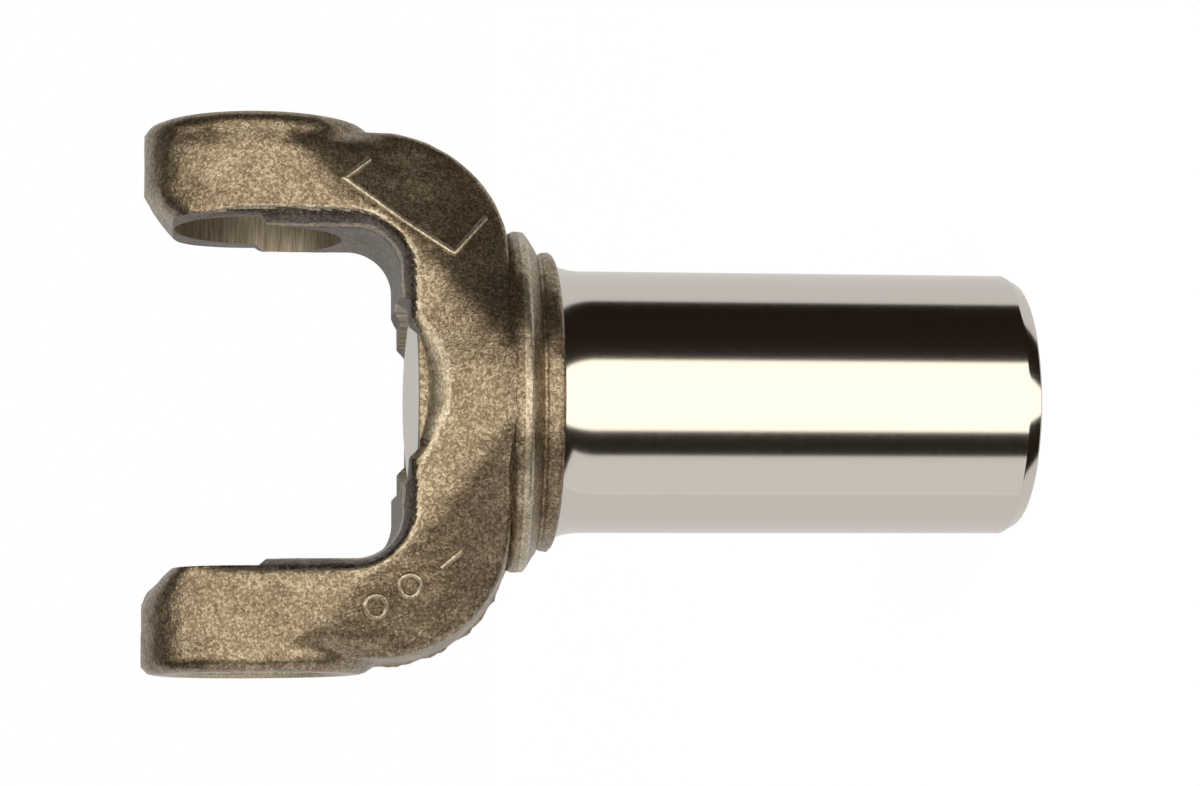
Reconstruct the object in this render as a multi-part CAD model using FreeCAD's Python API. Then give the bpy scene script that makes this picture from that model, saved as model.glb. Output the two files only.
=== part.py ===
import FreeCAD, Part
import math
import os
from FreeCAD import Placement, Rotation, Vector

# Slip yoke for a driveshaft: a closed-die steel forging, machined over its
# barrel and bores, with a pressed sheet-steel plug in its saddle.
# Origin: where the cross-bore axis meets the barrel axis.
# It is drawn lying down, as it is forged and turned: X runs along the barrel,
# away from the fork, Y is the cross-bore axis, and Z = 0 is the plane where
# the two forging dies part. It is then stood up on the end of its barrel.

# ---- ears and cross bores --------------------------------------------------
cross_bore_diameter = 30.18
cross_bore_chamfer = 0.6
ear_span = 99.1               # over the two machined outer ear faces
ear_gap = 62.2                # between the two milled inner ear faces
ear_diameter = 41.2           # round of the ears, and thickness of the fork
pad_edge_width = 2.2          # of the softened edge round each ear face
pad_edge_share = 0.3          # of that width, where its two bevels meet
ring_span = 92.1              # over the inner seats of the retaining rings
ring_groove_width = 1.7
ring_groove_depth = 1.1
tip_bevel_length = 5.2        # bevel on the inner edge of each ear, along X
tip_bevel_height = 4.6

# ---- shoulders and bridge, as forged ---------------------------------------
pad_height = 2.0              # how far the ear faces stand above the arms
shoulder_reach = 45.0         # joint centre to the back of the shoulders
shoulder_radius = 23.0
die_draft = 4.0               # degrees, on walls that stand in the dies
facet_start = 4.5             # along X, where a facet starts on the arm's outer side
facet_slope = 24.0            # degrees, down and outwards over each shoulder
bridge_start = 27.0           # along X, where the bridge starts to rise
bridge_height = 28.6          # over the die plane, at the back
bridge_side_slope = 28.0      # degrees, down to each side at the back
bridge_bevel = 1.8
forging_radius = 3.0

# ---- gap between the arms ----------------------------------------------------
raw_gap = 58.8                # between the arms, as trimmed
saddle_depth = 24.95          # joint centre to the bottom of the gap
gap_corner_radius = 8.0
rim_bevel_depth = 4.6         # drafted rim of the gap, down from the flat
rim_bevel_width = 2.0
relief_end = -0.2             # along X, where the milled ear faces stop
outer_step_width = 31.4       # across Y, at the bottom of the wider step
inner_step_width = 20.8       # across Y, at the bottom of the narrower step
step_depth = 1.45             # of each step, with 45 degree sides
pocket_radius = 30.2          # of the clearance pocket's floor, round the centre
pocket_floor = 19.7           # height of the pocket floor over the die plane
pocket_draft = 35.0           # degrees, on the pocket wall

# ---- flange and collar ---------------------------------------------------------
flange_diameter = 62.4
flange_length = 3.2           # of the flange's full round, behind the shoulders
collar_diameter = 54.6
collar_start = 51.0
collar_end = 53.0
collar_edge = 0.7

# ---- barrel ----------------------------------------------------------------------
barrel_diameter = 47.88
barrel_end = 139.6
barrel_chamfer_length = 2.6
barrel_chamfer_height = 1.5
root_fillet_height = 1.2
root_fillet_length = 5.5

# ---- internal spline ----------------------------------------------------------------
spline_teeth = 32
spline_major_diameter = 34.8
spline_minor_diameter = 32.2
spline_start = 46.0
entry_bore_length = 5.0
entry_chamfer = 1.2
gap_share_at_root = 0.42      # of the pitch, cut away at the major diameter
gap_share_at_tip = 0.66       # of the pitch, cut away at the minor diameter

# ---- plug -------------------------------------------------------------------------------
plug_seat_diameter = 35.4
plug_fit = 0.0                # pressed in: the rim lies on its seat
plug_thickness = 1.6
plug_rise = 1.5               # how far the crown bulges towards the joint
plug_crown_diameter = 22.0    # of the flat crown, which a cone joins to the rim
plug_setback = 0.1            # from the bottom of the inner step to the rim

# ---- worked out ---------------------------------------------------------------------------
cross_bore_radius = cross_bore_diameter / 2
ear_radius = ear_diameter / 2
half_span = ear_span / 2
half_gap = ear_gap / 2
half_raw_gap = raw_gap / 2
arm_outer = half_span - pad_height
flange_radius = flange_diameter / 2
flange_end = shoulder_reach + flange_length
collar_radius = collar_diameter / 2
barrel_radius = barrel_diameter / 2
plug_seat_radius = plug_seat_diameter / 2
saddle_floor = saddle_depth + 2 * step_depth
plug_rim = saddle_floor + plug_setback
plug_seat_floor = plug_rim + plug_thickness
facet_fall = math.tan(math.radians(facet_slope)) * math.sqrt(0.5)
bridge_fall = math.tan(math.radians(bridge_side_slope))
facet_line = facet_start + arm_outer
beyond = ear_span             # further out than any surface of the fork
tiny = 0.001
centre = Vector(0, 0, 0)
along_x = Vector(1, 0, 0)
along_y = Vector(0, 1, 0)
along_z = Vector(0, 0, 1)


def closed(points):
    """Straight-sided wire through the points and back to the first."""
    return Part.makePolygon(points + points[:1])


def arc(start, middle, end):
    return Part.Arc(Vector(*start), Vector(*middle), Vector(*end)).toShape()


def prism_along_z(points):
    """Solid with one outline in X and Y, through the whole fork."""
    face = Part.Face(closed([Vector(x, y, -beyond) for x, y in points]))
    return face.extrude(along_z * 2 * beyond)


def turned(wire, axis):
    """Solid of revolution, about a line through the joint centre."""
    return Part.Face(wire).revolve(centre, axis, 360)


def both_sides(shape, normal):
    """The shape and its mirror image across a plane through the centre."""
    return shape.fuse(shape.mirror(centre, normal))


def shoulder_outline(height):
    """Half the outline of the shoulders in X and Y, drawn in by the die draft."""
    inset = height * math.tan(math.radians(die_draft))
    side = arm_outer - inset
    back = shoulder_reach - inset
    radius = shoulder_radius - inset
    x = back - radius
    y = side - radius
    turn = radius * math.sqrt(0.5)
    bend = arc((x, side, height), (x + turn, y + turn, height), (back, y, height))
    corners = [
        Vector(back, y, height),
        Vector(back, 0, height),
        Vector(-ear_diameter, 0, height),
        Vector(-ear_diameter, side, height),
        Vector(x, side, height)]
    straights = [Part.makeLine(a, b) for a, b in zip(corners, corners[1:])]
    return Part.Wire([bend] + straights)


def bridge_section(x, height, fall):
    """Half the section across the bridge: a flat top and a falling side."""
    flat = facet_line - x
    side = flat + height / fall / 2
    return closed([
        Vector(x, 0, 0),
        Vector(x, side, 0),
        Vector(x, side, height / 2),
        Vector(x, flat, height),
        Vector(x, 0, height)])


def facet_tool():
    """What the sloping facet takes off one shoulder."""
    slope = math.radians(facet_slope)
    outwards = Vector(1, 1, 0).normalize()
    start = outwards * facet_line * math.sqrt(0.5) + along_z * ear_radius
    normal = outwards * math.sin(slope) + along_z * math.cos(slope)
    block = Part.makeBox(2 * beyond, 2 * beyond, beyond, Vector(-beyond, -beyond, 0))
    block.Placement = Placement(start, Rotation(along_z, normal)).multiply(block.Placement)
    return block


def top_edges_of_walls(shape):
    """Edges where a wall that rises from the die plane meets a top face."""
    edges = []
    for edge in shape.Edges:
        faces = shape.ancestorsOfType(edge, Part.Face)
        walls = [face for face in faces if face.BoundBox.ZMin < tiny]
        box = edge.BoundBox
        outer = min(box.ZMin, box.YMin, box.XLength) > tiny
        if len(walls) == 1 and outer:
            edges.append(edge)
    return edges


def shoulder_quarter():
    """One shoulder above the die plane, with its arm, ear end and half bridge."""
    walls = Part.makeLoft([shoulder_outline(0), shoulder_outline(beyond / 2)], True, True)
    ear_end = Part.makeCylinder(ear_radius, beyond, centre, along_y)
    arm = Part.makeBox(beyond, beyond, ear_radius, centre)
    arm = walls.common(ear_end.fuse(arm).removeSplitter()).cut(facet_tool())
    bridge = Part.makeLoft([
        bridge_section(bridge_start, ear_radius, facet_fall),
        bridge_section(shoulder_reach + 1, bridge_height, bridge_fall)], True, True)
    bridge = walls.common(bridge)
    arm = arm.makeFillet(forging_radius, top_edges_of_walls(arm))
    bridge = bridge.makeChamfer(bridge_bevel, top_edges_of_walls(bridge))
    return arm.fuse(bridge)


def ear_pads():
    """The raised pads of both ears, as one round bar that the gap parts."""
    near = pad_edge_width * pad_edge_share
    wire = closed([Vector(radius, y, 0) for radius, y in [
        (0, 0),
        (ear_radius, 0),
        (ear_radius, half_span - pad_edge_width),
        (ear_radius - near, half_span - near),
        (ear_radius - pad_edge_width, half_span),
        (0, half_span)]])
    return both_sides(turned(wire, along_y), along_y)


def barrel_blank():
    """Flange, collar, root fillet and barrel, turned in one profile.

    The fillet is two bevels that follow a parabola, tangent to the barrel.
    """
    fillet_end = collar_end + root_fillet_length
    chamfer_start = barrel_end - barrel_chamfer_length
    return turned(closed([Vector(x, radius, 0) for x, radius in [
        (saddle_depth, 0),
        (saddle_depth, plug_seat_radius),
        (shoulder_reach, plug_seat_radius),
        (shoulder_reach, flange_radius),
        (flange_end, flange_radius),
        (collar_start, collar_radius),
        (collar_end - collar_edge, collar_radius),
        (collar_end, collar_radius - collar_edge),
        (collar_end, barrel_radius + root_fillet_height),
        (collar_end + root_fillet_length / 2, barrel_radius + root_fillet_height / 4),
        (fillet_end, barrel_radius),
        (chamfer_start, barrel_radius),
        (barrel_end, barrel_radius - barrel_chamfer_height),
        (barrel_end, 0)]]), along_x)


def gap_outline(widening, height):
    """The trimmed gap in X and Y, open towards the ear tips."""
    side = half_raw_gap + widening
    end = saddle_depth + widening
    radius = gap_corner_radius + widening
    turn = radius * math.sqrt(0.5)
    x = end - radius
    y = side - radius
    upper = arc((x, side, height), (x + turn, y + turn, height), (end, y, height))
    lower = arc((end, -y, height), (x + turn, -y - turn, height), (x, -side, height))
    bottom = Part.makeLine(Vector(end, y, height), Vector(end, -y, height))
    corners = [
        Vector(x, -side, height),
        Vector(-beyond, -side, height),
        Vector(-beyond, side, height),
        Vector(x, side, height)]
    open_end = [Part.makeLine(a, b) for a, b in zip(corners, corners[1:])]
    return Part.Wire([upper, bottom, lower] + open_end)


def gap_tool():
    """The gap between the arms, with its drafted rims."""
    straight = Part.Face(gap_outline(0, -beyond)).extrude(along_z * 2 * beyond)
    rim_start = ear_radius - rim_bevel_depth
    rim_slope = rim_bevel_width / rim_bevel_depth
    rim_end = bridge_height + 1
    rim = Part.makeLoft([
        gap_outline(0, rim_start),
        gap_outline((rim_end - rim_start) * rim_slope, rim_end)], True, True)
    return straight.fuse(both_sides(rim, along_z))


def saddle_steps_tool():
    """Two steps across the bottom of the gap, with 45 degree sides."""
    first = saddle_depth + step_depth
    half = [
        (0, 0),
        (saddle_floor, 0),
        (saddle_floor, inner_step_width / 2),
        (first, inner_step_width / 2 + step_depth),
        (first, outer_step_width / 2),
        (saddle_depth, outer_step_width / 2 + step_depth),
        (0, outer_step_width / 2 + step_depth)]
    return both_sides(prism_along_z(half), along_y)


def relief_tool():
    """The milled inner ear faces, with a 45 degree run-out."""
    end = relief_end + half_gap - half_raw_gap
    upper_half = [
        (-beyond, half_gap),
        (relief_end, half_gap),
        (end, half_raw_gap),
        (end, 0),
        (-beyond, 0)]
    return both_sides(prism_along_z(upper_half), along_y)


def pocket_tool():
    """Round clearance in the bridge, above the saddle, with a drafted wall."""
    height = bridge_height - pocket_floor
    wall = height * math.tan(math.radians(pocket_draft))
    return Part.makeCone(pocket_radius, pocket_radius + wall, height, along_z * pocket_floor)


def cross_bore_tool():
    """Both cross bores in line, with chamfered mouths and ring grooves."""
    mouth = cross_bore_radius + cross_bore_chamfer
    groove = cross_bore_radius + ring_groove_depth
    seat = ring_span / 2
    points = [
        (0, 0),
        (cross_bore_radius, 0),
        (cross_bore_radius, seat),
        (groove, seat),
        (groove, seat + ring_groove_width),
        (cross_bore_radius, seat + ring_groove_width),
        (cross_bore_radius, half_span - cross_bore_chamfer),
        (mouth, half_span),
        (mouth, beyond),
        (0, beyond)]
    wire = closed([Vector(radius, y, 0) for radius, y in points])
    return both_sides(turned(wire, along_y), along_y)


def tip_bevel_tool():
    """Bevels on the inner edges of both ear tips."""
    tip = -ear_radius
    corner = [
        (tip, half_gap + tip_bevel_height),
        (tip + tip_bevel_length, half_gap),
        (tip + tip_bevel_length, 0),
        (-beyond, 0),
        (-beyond, half_gap + tip_bevel_height)]
    return both_sides(prism_along_z(corner), along_y)


def bore_tool():
    """Plug seat, clearance bore, spline minor bore and chamfered entry."""
    major = spline_major_diameter / 2
    minor = spline_minor_diameter / 2
    entry_start = barrel_end - entry_bore_length
    wire = closed([Vector(x, radius, 0) for x, radius in [
        (0, 0),
        (0, plug_seat_radius),
        (plug_seat_floor, plug_seat_radius),
        (plug_seat_floor, major),
        (spline_start, major),
        (spline_start, minor),
        (entry_start - major + minor, minor),
        (entry_start, major),
        (barrel_end - entry_chamfer, major),
        (barrel_end, major + entry_chamfer),
        (barrel_end, 0)]])
    return turned(wire, along_x)


def spline_gaps():
    """The gaps between the internal teeth, as one straight fluted bar."""
    major = spline_major_diameter / 2
    minor = spline_minor_diameter / 2
    pitch = 2 * math.pi / spline_teeth
    half_root = pitch * gap_share_at_root / 2
    half_tip = pitch * gap_share_at_tip / 2
    profile = [(-half_tip, minor), (-half_root, major), (half_root, major), (half_tip, minor)]
    points = []
    for tooth in range(spline_teeth):
        for angle, radius in profile:
            turn = tooth * pitch + angle
            points.append(Vector(spline_start, radius * math.cos(turn), radius * math.sin(turn)))
    length = barrel_end - entry_bore_length - spline_start
    return Part.Face(closed(points)).extrude(along_x * length)


def yoke():
    """The forging, and then everything that is machined into it."""
    fork = both_sides(both_sides(shoulder_quarter(), along_y), along_z)
    blank = fork.fuse(ear_pads()).fuse(barrel_blank())
    tools = [gap_tool(), saddle_steps_tool(), relief_tool(), tip_bevel_tool()]
    tools += [both_sides(pocket_tool(), along_z)]
    tools += [cross_bore_tool(), bore_tool(), spline_gaps()]
    for tool in tools:
        blank = blank.cut(tool)
    return blank


def expansion_plug():
    """Bulged disc of even thickness, pressed into the saddle, crown to the joint."""
    rim = plug_seat_radius - plug_fit
    crown = plug_crown_diameter / 2
    front = [
        (plug_rim - plug_rise, 0),
        (plug_rim - plug_rise, crown),
        (plug_rim, rim)]
    back = [(x + plug_thickness, radius) for x, radius in front[::-1]]
    return turned(closed([Vector(x, radius, 0) for x, radius in front + back]), along_x)


def stood_up(shape):
    """The shape standing on the end of its barrel, with the fork on top."""
    return shape.rotated(centre, along_y, 90)


os.makedirs("parts", exist_ok=True)
stood_up(yoke()).exportStep("parts/yoke.step")
stood_up(expansion_plug()).exportStep("parts/expansion_plug.step")
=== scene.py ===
import math
from itertools import product

import bpy
import numpy as np
from mathutils import Matrix


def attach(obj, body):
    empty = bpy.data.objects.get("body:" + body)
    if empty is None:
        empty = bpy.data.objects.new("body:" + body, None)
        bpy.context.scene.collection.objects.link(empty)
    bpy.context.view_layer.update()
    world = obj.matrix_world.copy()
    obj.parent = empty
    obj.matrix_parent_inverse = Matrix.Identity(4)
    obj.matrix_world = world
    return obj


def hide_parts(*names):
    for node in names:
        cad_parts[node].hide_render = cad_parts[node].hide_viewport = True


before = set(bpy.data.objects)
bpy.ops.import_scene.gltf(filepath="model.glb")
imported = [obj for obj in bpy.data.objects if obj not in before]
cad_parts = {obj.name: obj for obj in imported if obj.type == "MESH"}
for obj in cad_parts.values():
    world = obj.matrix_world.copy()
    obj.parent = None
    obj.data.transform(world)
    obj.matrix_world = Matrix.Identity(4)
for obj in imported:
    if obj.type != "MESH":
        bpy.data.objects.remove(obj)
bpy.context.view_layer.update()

# A forged slip yoke, standing on the end of its barrel. Its pieces are drawn lying down and in
# millimetres: X runs along the barrel, Y along the cross bore, and Z = 0 is where the dies part.
# Each is stood up, and made metres, as its mesh is made.

millimetre = 0.001
print("frame loaded")


# Fillet between two distances, kept where both are inside: the larger, raised by up to a
# quarter of the radius where the two are nearly equal.
def blendMax(a, b, radius):
    share = np.clip(0.5 + 0.5 * (a - b) / radius, 0, 1)
    return b + (a - b) * share + radius * share * (1 - share)


def blendMin(a, b, radius):  # the same, where either is enough
    return -blendMax(-a, -b, radius)


latticeSize = 65536  # random heights in a lattice's table
latticePrimes = np.array([73856093, 19349663, 83492791])  # they scatter corners over the table


# Value noise: random heights on a cubic lattice, eased between its corners by s * s * (3 - 2 * s),
# where s is the share of the way from one corner to the next. It runs from -1 to 1.
def lumps(points, cell, seed):
    table = np.random.default_rng(seed).uniform(-1, 1, latticeSize)
    place = points / cell
    corner = np.floor(place).astype(np.int64)
    share = place - corner
    share = share * share * (3 - 2 * share)
    total = np.zeros(points.shape[:-1])
    for step in product((0, 1), repeat=3):
        key = np.bitwise_xor.reduce((corner + step) * latticePrimes, axis=-1)
        weight = np.prod(np.abs(1 - np.array(step) - share), axis=-1)
        total += table[key % latticeSize] * weight
    return total


# Distance to a rectangle's rounded outline: the corner's circle, or the nearer side.
def roundedCorner(x, y, radius):
    return np.hypot(np.maximum(x, 0), np.maximum(y, 0)) + np.minimum(np.maximum(x, y), 0) - radius


# A quarter turn about Y, which brings the fork to the top: (x, y, z) becomes (z, y, -x).
def stood(points):
    points = np.asarray(points, float)
    return np.stack([points[..., 2], points[..., 1], -points[..., 0]], -1)


def laid(points):  # and back: (x, y, z) becomes (-z, y, x)
    return np.stack([-points[..., 2], points[..., 1], points[..., 0]], -1)


# A piece from points lying down in millimetres, and faces as rows of indices.
def meshPiece(name, points, faces):
    mesh = bpy.data.meshes.new(name)
    mesh.from_pydata((stood(points) * millimetre).tolist(), [], faces)
    mesh.validate()
    mesh.update()
    piece = bpy.data.objects.new(name, mesh)
    bpy.context.scene.collection.objects.link(piece)
    return piece


# Faces of a grid whose rows are closed rings, with both ends closed by fans.
def ringFaces(rows, columns, firstPole, lastPole):
    row, column = np.meshgrid(np.arange(rows - 1), np.arange(columns), indexing="ij")
    after = (column + 1) % columns
    quads = np.stack([row * columns + column, row * columns + after,
                      (row + 1) * columns + after, (row + 1) * columns + column], -1)
    ring = np.arange(columns)
    last = (rows - 1) * columns
    firstFan = np.stack([np.full(columns, firstPole), (ring + 1) % columns, ring], -1)
    lastFan = np.stack([np.full(columns, lastPole), last + ring, last + (ring + 1) % columns], -1)
    return quads.reshape(-1, 4).tolist() + firstFan.tolist() + lastFan.tolist()


# Faces of a grid that is closed both ways, such as a turned ring.
def torusFaces(rows, columns):
    row, column = np.meshgrid(np.arange(rows), np.arange(columns), indexing="ij")
    after, below = (column + 1) % columns, (row + 1) % rows
    quads = np.stack([row * columns + column, row * columns + after,
                      below * columns + after, below * columns + column], -1)
    return quads.reshape(-1, 4).tolist()


# Six times the volume is the sum over triangles of a . (b x c): below zero, faces are turned.
def faceOutwards(piece):
    mesh = piece.data
    mesh.calc_loop_triangles()
    corners = np.empty(len(mesh.loop_triangles) * 3, np.int32)
    mesh.loop_triangles.foreach_get("vertices", corners)
    places = np.empty(len(mesh.vertices) * 3)
    mesh.vertices.foreach_get("co", places)
    a, b, c = places.reshape(-1, 3)[corners.reshape(-1, 3)].transpose(1, 0, 2)
    if np.einsum("ij,ij->i", a, np.cross(b, c)).sum() < 0:
        mesh.flip_normals()
    return piece


def softShading(piece, degrees):  # smooth, with a sharp edge past an angle
    piece.data.shade_smooth()
    piece.data.set_sharp_from_angle(angle=math.radians(degrees))
    return piece


# A profile of (along, radius) carried round one axis, at the radius times the cosine and the
# sine of the angle. The offset moves each point along and out.
def turned(name, profile, steps, axis="X", offset=None):
    profile = np.asarray(profile, float)
    angle = np.linspace(0, 2 * np.pi, steps, endpoint=False)
    along = np.repeat(profile[:, :1], steps, 1)
    radius = np.repeat(profile[:, 1:], steps, 1)
    if offset is not None:
        push = offset(along, angle[None, :] + 0 * along, radius)
        along, radius = along + push[0], radius + push[1]
    across, up = radius * np.cos(angle), radius * np.sin(angle)
    order = {"X": [along, across, up], "Y": [across, along, up], "Z": [across, up, along]}[axis]
    points = np.stack(order, -1).reshape(-1, 3)
    return faceOutwards(meshPiece(name, points, torusFaces(len(profile), steps)))


# An outline in X and Y carried straight along Z, closed at both ends.
def straightPrism(name, outline, reach):
    count = len(outline)
    points = [(x, y, -reach) for x, y in outline] + [(x, y, reach) for x, y in outline]
    faces = [[i, (i + 1) % count, (i + 1) % count + count, i + count] for i in range(count)]
    faces += [list(range(count))[::-1], list(range(count, 2 * count))]
    return faceOutwards(meshPiece(name, points, faces))


# Points along a line of corners, no further apart than the step.
def finely(corners, step):
    corners = np.asarray(corners, float)
    out = []
    for start, end in zip(corners[:-1], corners[1:]):
        count = max(1, int(np.ceil(np.linalg.norm(end - start) / step)))
        out.append(start + (end - start) * np.arange(count)[:, None] / count)
    return np.concatenate(out + [corners[-1:]])


# Points on a circular arc, evenly from one angle to another in degrees: the centre plus the
# radius times the cosine and the sine.
def arcPoints(centre, radius, first, last, count):
    angle = np.radians(np.linspace(first, last, count))
    return np.stack([centre[0] + radius * np.cos(angle), centre[1] + radius * np.sin(angle)], -1)


# The fork as forged, and what the machines take off it. The scales make a slanting field a
# distance, the ear and bend runs are lengths along the skin's path that set how many rings it
# has, and past the sharp angle an edge is shaded sharp.
fork = {
    "earRadius": 20.6, "earFace": 49.55, "armSide": 47.55, "back": 45.0, "shoulderRadius": 23.0,
    "draft": 4.0, "facetLine": 49.5, "facetSlope": 24.0, "fillet": 4.0, "crease": 1.3,
    "bridgeLine": 51.5, "bridgeStart": 27.0, "bridgeEnd": 46.0, "bridgeHeight": 28.6,
    "bridgeSideSlope": 28.0, "bridgeSideScale": 0.86, "bridgeCrease": 1.6, "bridgeFillet": 1.0,
    "bridgeReach": 2.8, "reachWidth": 17.0, "bridgeRadius": 31.0,
    "sweepLength": 17.0, "sweepHeight": 2.9, "sweepWidth": 13.0,
    "padRound": 3.2, "padFillet": 1.2, "bevelLength": 5.2, "bevelHeight": 4.6, "bevelRound": 3.4,
    "rawGap": 29.4, "saddle": 24.95, "gapCorner": 8.0, "gapRound": 0.5,
    "rimStart": 16.0, "rimSlope": 0.435, "rimScale": 0.917, "rimRound": 1.6,
    "earGap": 31.1, "reliefEnd": -0.2, "stepDepth": 1.45, "outerStep": 15.7, "innerStep": 10.4,
    "pocketRadius": 29.4, "pocketFloor": 19.7, "pocketSlope": 0.7, "pocketHeight": 20.0,
    "plugSeat": 17.7, "boreRadius": 15.09, "boreChamfer": 0.6,
    "ringSeat": 46.05, "ringWidth": 1.7, "ringDepth": 1.1,
    "cutterReach": 90, "cutterSteps": 144, "cutterPole": 0.01, "gapStart": 5, "boreStart": 5,
    "stepStart": 10, "seatStart": 15, "seatStop": 60, "mouthRun": 2, "sharp": 38,
    "pathSide": 38.6, "pathEnd": 35.0, "pathTurn": 18.0, "earRun": 30.9, "bendRun": 38.0,
    "rayWidth": 11.0, "rayHeight": 22.0, "rayReach": 60.0, "halvings": 26, "evenings": 3,
    "spacing": 0.62, "ringPoints": 236,
    "dents": 0.10, "dentCells": (6.0, 2.9), "finerShare": 0.7, "grain": 0.05, "grainCell": 1.3,
    "flash": 0.45, "flashWidth": 0.75, "flashCells": (2.2, 0.9), "flashShares": (0.55, 0.6, 0.5),
    "probe": 0.05, "gapMargin": 0.1, "padMargin": 0.15, "skinFade": 0.4,
    "steepStart": 0.8, "steepFade": 0.15, "tipRun": 2, "tipLeast": 0.15,
}


# The forging as one field: below zero inside. The arms are the ear's round end and flat top,
# cut by the sloping facet and the drafted outer wall. The bridge is a rising plane with sloping
# sides, swept up to the flange at its middle and kept inside its cylinder. The pads are a round
# bar with bevelled tips.
def bodyFields(x, y, z):
    f = fork
    y, z = np.abs(y), np.abs(z)
    draft = math.radians(f["draft"])
    radius = f["shoulderRadius"]
    outline = roundedCorner(x - f["back"] + radius, y - f["armSide"] + radius, radius)
    wall = (outline + z * math.tan(draft)) * math.cos(draft)

    top = np.hypot(np.minimum(x, 0), z) - f["earRadius"]
    slope = math.radians(f["facetSlope"])
    towards = (x + y - f["facetLine"]) * math.sqrt(0.5)
    facet = towards * math.sin(slope) + (z - f["earRadius"]) * math.cos(slope)
    armTop = blendMax(top, facet, f["crease"])

    length = f["bridgeEnd"] - f["bridgeStart"]
    share = np.clip((x - f["bridgeStart"]) / length, 0, 1)
    rise = (f["bridgeHeight"] - f["earRadius"]) / length
    sweep = f["sweepHeight"] * np.clip((x - f["bridgeStart"]) / f["sweepLength"], 0, 1)
    sweep = sweep * np.exp(-(y / f["sweepWidth"]) ** 2)
    height = f["earRadius"] + (x - f["bridgeStart"]) * rise + sweep
    firstFall = math.tan(slope) * math.sqrt(0.5)
    fall = firstFall + (math.tan(math.radians(f["bridgeSideSlope"])) - firstFall) * share
    bridgeTop = (z - height) * math.cos(math.atan(rise))
    bridgeSide = (z - height + (y - f["bridgeLine"] + x) * fall) * f["bridgeSideScale"]
    reach = wall - f["bridgeReach"] * np.exp(-(y / f["reachWidth"]) ** 2)
    bridge = blendMax(blendMax(bridgeTop, bridgeSide, f["crease"]), reach, f["bridgeFillet"])
    bridge = np.maximum(bridge, np.hypot(np.minimum(y, f["reachWidth"]), z) - f["bridgeRadius"])

    pad = blendMax(np.hypot(x, z) - f["earRadius"], y - f["earFace"], f["padRound"])
    body = blendMin(blendMax(armTop, wall, f["fillet"]), bridge, f["bridgeCrease"])
    body = blendMin(body, pad, f["padFillet"])
    lean = f["bevelHeight"] / f["bevelLength"]
    bevel = f["bevelHeight"] - (x + f["earRadius"]) * lean - y + f["earGap"]
    return blendMax(body, bevel / math.hypot(lean, 1), f["bevelRound"]), armTop, wall


# Distance outside the gap's outline seen along Z: straight sides and rounded corners.
def gapField(x, y):
    f = fork
    corner = f["gapCorner"]
    return roundedCorner(x - f["saddle"] + corner, np.abs(y) - f["rawGap"] + corner, corner)


# Distance inside the gap's drafted rim: outside the gap, less what the rim widens with height.
def rimField(x, y, z):
    f = fork
    return (gapField(x, y) - (np.abs(z) - f["rimStart"]) * f["rimSlope"]) * f["rimScale"]


def forgingField(x, y, z):  # the body, with the gap and its drafted rim taken out last
    body = blendMax(bodyFields(x, y, z)[0], -gapField(x, y), fork["gapRound"])
    return blendMax(body, -rimField(x, y, z), fork["rimRound"])


# The forging's skin: stations along a U-shaped path from one ear tip to the other, and at each
# a ring of rays from the path, each run out to where the field is zero.
def forgingSkin():
    f = fork
    step = f["spacing"]
    straight = f["pathEnd"] - f["pathTurn"]
    turns = np.linspace(0.02, np.pi / 2, int(f["earRun"] / step))
    ear = -f["earRadius"] * np.cos(turns)
    arm = np.linspace(0, straight, int(straight / step))[1:]
    bend = np.linspace(0, np.pi / 2, int(f["bendRun"] / step))[1:]
    centreY = f["pathSide"] - f["pathTurn"]
    bridge = np.linspace(centreY, 0, int(centreY / step))[1:]
    along = np.concatenate([ear, arm])
    bendX, bendY = straight + f["pathTurn"] * np.sin(bend), centreY + f["pathTurn"] * np.cos(bend)
    x = np.concatenate([along, bendX, 0 * bridge + f["pathEnd"]])
    y = np.concatenate([0 * along + f["pathSide"], bendY, bridge])
    outX = np.concatenate([0 * along, np.sin(bend), 0 * bridge + 1])
    outY = np.concatenate([0 * along + 1, np.cos(bend), 0 * bridge])
    x, outX = np.concatenate([x, x[-2::-1]]), np.concatenate([outX, outX[-2::-1]])
    y, outY = np.concatenate([y, -y[-2::-1]]), np.concatenate([outY, -outY[-2::-1]])
    earHeight = np.sqrt(np.maximum(f["earRadius"] ** 2 - x ** 2, 0))
    height = np.where(x < 0, earHeight, f["rayHeight"])[:, None]
    x, y, outX, outY = x[:, None], y[:, None], outX[:, None], outY[:, None]

    def rays(angle):
        across, up = f["rayWidth"] * np.cos(angle), height * np.sin(angle)
        length = np.hypot(across, up)
        across, up = across / length, up / length
        near, far = np.zeros_like(angle), np.full_like(angle, f["rayReach"])
        for _ in range(f["halvings"]):
            middle = (near + far) / 2
            px, py = x + outX * across * middle, y + outY * across * middle
            inside = forgingField(px, py, up * middle) < 0
            near, far = np.where(inside, middle, near), np.where(inside, far, middle)
        return np.stack([x + outX * across * near, y + outY * across * near, up * near], -1)

    count = f["ringPoints"]
    angle = np.tile(np.linspace(0, 2 * np.pi, count + 1), (len(x), 1))
    even = np.linspace(0, 1, count + 1)
    for _ in range(f["evenings"]):  # even out the spacing round each ring
        steps = np.linalg.norm(np.diff(rays(angle), axis=1), axis=2)
        run = np.concatenate([np.zeros((len(x), 1)), np.cumsum(steps, 1)], 1)
        angle = np.stack([np.interp(even * r[-1], r, a) for r, a in zip(run, angle)])
    return roughen(rays(angle)[:, :-1])


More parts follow.
